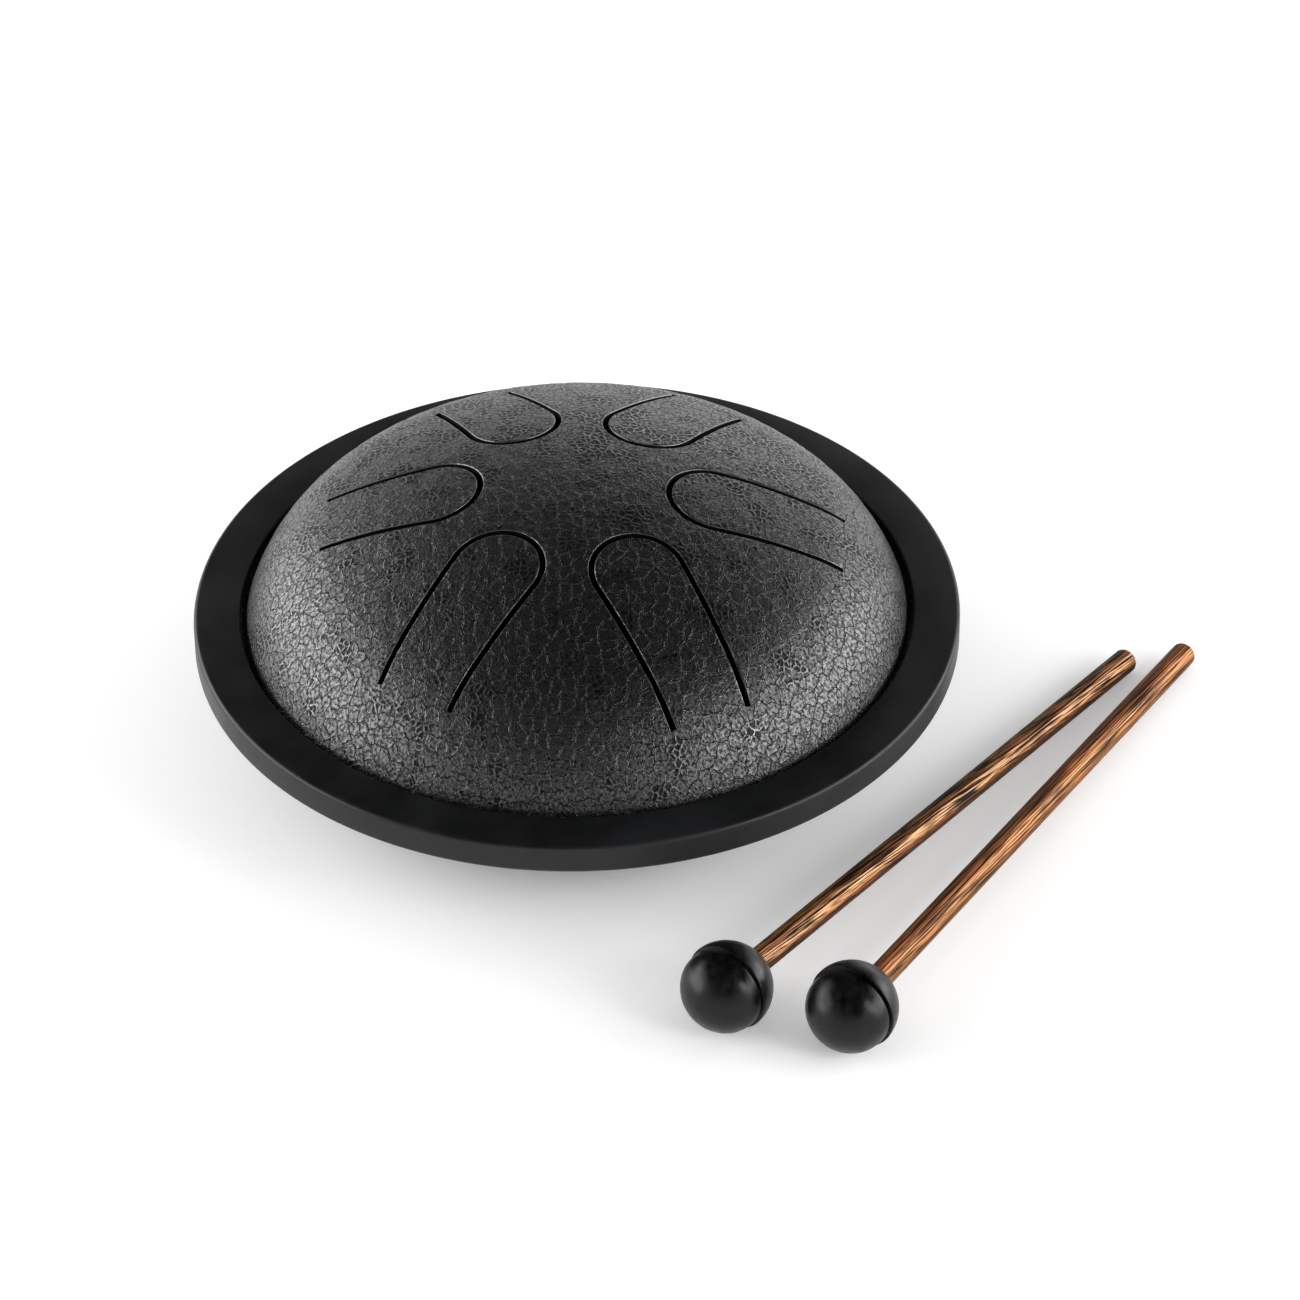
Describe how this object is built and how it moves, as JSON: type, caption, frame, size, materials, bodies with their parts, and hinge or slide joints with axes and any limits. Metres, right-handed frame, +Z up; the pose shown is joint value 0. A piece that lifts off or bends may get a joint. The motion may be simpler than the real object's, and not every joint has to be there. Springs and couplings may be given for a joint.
{
  "type": "steel tongue drum",
  "caption": "Small steel tongue drum: a domed shell with slotted tongues on a dished shell, a rubber ring round the seam, rubber feet, and two ball-headed mallets beside it.",
  "frame": {"origin": "Centre of the sound port, on the outer face of the dish's floor. The table lies 6.5 mm below it.", "axes": "+Z up through the top of the dome, +X to the right and +Y to the back as the picture shows the drum. The mallets lie at the front right."},
  "size_m": [0.2384, 0.218, 0.0709],
  "materials": {
    "powder_coat": "textured satin",
    "ring_rubber": "satin",
    "zinc_steel": "satin",
    "mallet_rubber": "satin",
    "zebra_wood": "satin",
    "red_wood": "satin"
  },
  "bodies": {
    "drum": {"tongue_shell": "powder_coat", "bottom_shell": "powder_coat", "rim_ring": "ring_rubber", "foot_front_left": "ring_rubber", "foot_front_right": "ring_rubber", "foot_back_left": "ring_rubber", "foot_back_right": "ring_rubber", "foot_washers": "zinc_steel", "foot_screws": "zinc_steel", "foot_nuts": "zinc_steel"},
    "left_mallet": {"left_mallet_head": "mallet_rubber", "left_mallet_handle": "zebra_wood"},
    "right_mallet": {"right_mallet_head": "mallet_rubber", "right_mallet_handle": "red_wood"}
  },
  "joints": [
    {"name": "left_mallet_lift", "type": "slide", "parent": "drum", "child": "left_mallet", "axis": [0, 0, 1], "range_m": [0, 0.1]},
    {"name": "right_mallet_lift", "type": "slide", "parent": "drum", "child": "right_mallet", "axis": [0, 0, 1], "range_m": [0, 0.1]}
  ]
}
